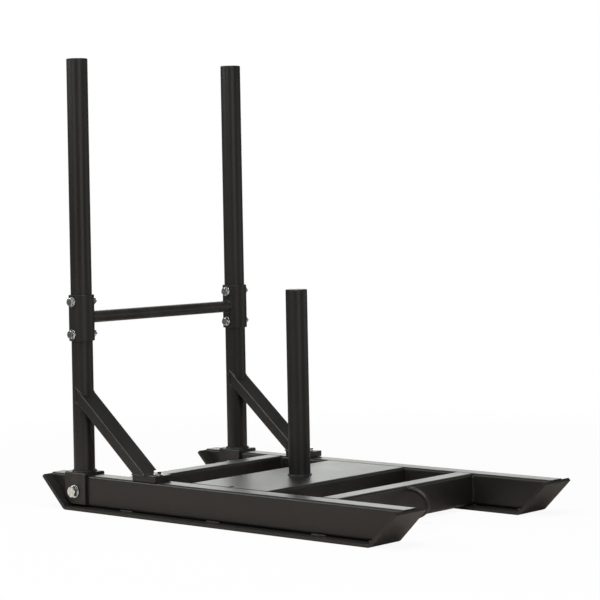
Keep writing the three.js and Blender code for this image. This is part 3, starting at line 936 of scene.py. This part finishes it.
low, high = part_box("tow_loop")
bar_thick = high.x - low.x
half_height = (high.z - low.z - bar_thick) / 2
reach = high.y - low.y - bar_thick / 2
shape = bmesh.new()
rings = []
for step in range(LOOP_STEPS + 1):
    turn = math.pi * step / LOOP_STEPS
    place = Vector((0, high.y - reach * math.sin(turn), (low.z + high.z) / 2 + half_height * math.cos(turn)))
    along = Vector((0, -reach * math.cos(turn), -half_height * math.sin(turn))).normalized()
    outward = along.cross(Vector((1, 0, 0)))
    ring = []
    for count in range(LOOP_SIDES):
        lean = math.tau * count / LOOP_SIDES
        offset = Vector((1, 0, 0)) * math.cos(lean) + outward * math.sin(lean)
        ring.append(shape.verts.new(place + offset * bar_thick / 2))
    rings.append(ring)
for first, second in zip(rings, rings[1:]):
    for count in range(LOOP_SIDES):
        after = (count + 1) % LOOP_SIDES
        shape.faces.new((first[count], first[after], second[after], second[count]))
shape.faces.new(rings[0])
shape.faces.new(reversed(rings[-1]))
bmesh.ops.recalc_face_normals(shape, faces=shape.faces)
steel("tow_loop_bar", shape, "tow_loop")

# %% [markdown]
# ## The welds
#
# The base is joined by fillet welds under the coat. A welder lays a bead as a row of overlapping pools,
# which leaves fine ripples across it. Each bead here is a round section swept along a seam, and swells
# and shrinks a little with each pool. The seams are worked out from the boxes of the joined pieces.
# Where two flat tops meet, the bead is ground flush, and along the skids it is laid in short stitches.

# %% Seams that run round a tube
UPRIGHT_BEAD = 4.4 * MM
POST_BEAD = 3.4 * MM
BAR_BEAD = 2.8 * MM
LOOP_BEAD = 2.2 * MM


def weld(name, *beads):
    """A powder coated weld, made of one or more beads."""
    shape = beads[0]
    for other in beads[1:]:
        added(shape, other)
    steel(name, shape)


post_low, post_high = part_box("weight_post")
post_foot = (0, 0, post_low.z)
weld("post_weld", bead(circle(post_foot, (post_high.x - post_low.x) / 2), POST_BEAD, True))

for side in SIDES:
    out = mirrored_side(side)
    low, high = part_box(f"{side}_lower_upright")
    foot = ((low.x + high.x) / 2, (low.y + high.y) / 2, low.z)
    weld(f"{side}_upright_weld", bead(circle(foot, (high.x - low.x) / 2), UPRIGHT_BEAD, True))
    low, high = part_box(f"{side}_sleeve")
    sleeve_radius = (high.x - low.x) / 2
    seam = []
    for point in circle((0, 0, 0), bar_radius):
        across = math.sqrt(sleeve_radius ** 2 - point.x ** 2)
        seam.append((out * (abs(foot[0]) - across), middle.y + point.x, middle.z + point.y))
    weld(f"{side}_push_bar_weld", bead(seam, BAR_BEAD, True))

low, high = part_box("tow_loop")
loop_seams = []
for height in (low.z + bar_thick / 2, high.z - bar_thick / 2):
    seam = [(point.x, high.y, height + point.y) for point in circle((0, 0, 0), bar_thick / 2, 24)]
    loop_seams.append(bead(seam, LOOP_BEAD, True))
weld("tow_loop_weld", *loop_seams)

# %% Seams of the braces
BRACE_ANGLE = math.radians(40)
BRACE_BEAD = 2.4 * MM
SEAM_POINTS = 12


def between(first, last):
    """Values spread evenly from the first to just before the last."""
    return [first + (last - first) * step / SEAM_POINTS for step in range(SEAM_POINTS)]


for side in SIDES:
    low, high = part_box(f"{side}_brace")
    half = (high.x - low.x) / 2
    upright_low, upright_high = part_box(f"{side}_lower_upright")
    axis_y = (upright_low.y + upright_high.y) / 2
    run = (upright_high.x - upright_low.x) / 2
    heel = low.y + (high.x - low.x) / 2 / math.sin(BRACE_ANGLE)
    deep = (heel - low.y) * math.tan(BRACE_ANGLE)
    middle_x = (low.x + high.x) / 2
    corners = [(-half, 0), (half, 0), (half, deep), (-half, deep), (-half, 0)]
    seam = []
    for (x1, rise1), (x2, rise2) in zip(corners, corners[1:]):
        for x, rise in zip(between(x1, x2), between(rise1, rise2)):
            y = axis_y - math.sqrt(max(run ** 2 - x ** 2, 0)) - 0.5 * MM
            seam.append((middle_x + x, y, low.z + rise + (y - heel) * math.tan(BRACE_ANGLE)))
    foot_corners = [(-half, low.y), (half, low.y), (half, heel), (-half, heel), (-half, low.y)]
    foot_seam = []
    for (x1, y1), (x2, y2) in zip(foot_corners, foot_corners[1:]):
        foot_seam += [(middle_x + x, y, low.z) for x, y in zip(between(x1, x2), between(y1, y2))]
    weld(f"{side}_brace_weld", bead(seam, BRACE_BEAD, True), bead(foot_seam, BRACE_BEAD, True))
print("brace foot runs to y", round(heel / MM, 1), "mm")

# %% Seams of the base
CORNER_BEAD = 3.0 * MM
FLUSH_BEAD = 3.4 * MM
STITCH_BEAD = 2.4 * MM
CORNER_SINK = 6 * MM
STITCHES = [(296, 256), (23, -17), (-284, -325), (-441, -453)]

runner_low, runner_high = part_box("left_runner")
inner_face = runner_low.x
for side in SIDES:
    out = mirrored_side(side)
    beads = []
    for node in ("front_crossbar", "rear_crossbar"):
        low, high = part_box(node)
        for y in (low.y, high.y):
            beads.append(bead([(out * inner_face, y, low.z + CORNER_SINK), (out * inner_face, y, high.z - CORNER_SINK)], CORNER_BEAD))
    weld(f"{side}_crossbar_welds", *beads)
    beads = []
    for node in ("front_crossbar", "rear_crossbar", "deck_plate"):
        low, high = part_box(node)
        height = high.z - FLUSH_BEAD - 0.1 * MM
        beads.append(bead([(out * inner_face, low.y + CORNER_SINK, height), (out * inner_face, high.y - CORNER_SINK, height)], FLUSH_BEAD))
    weld(f"{side}_flush_welds", *beads)
    beads = []
    for face in (runner_low.x - 0.8 * MM, runner_high.x + 0.8 * MM):
        for start, stop in STITCHES:
            line = [(out * face, start * MM, SKID_THICK + 0.8 * MM), (out * face, stop * MM, SKID_THICK + 0.8 * MM)]
            beads.append(bead(line, STITCH_BEAD))
    weld(f"{side}_stitch_welds", *beads)
print("stitches on each skid:", 2 * len(STITCHES))

# %% Finish
scene.view_settings.view_transform = "Standard"
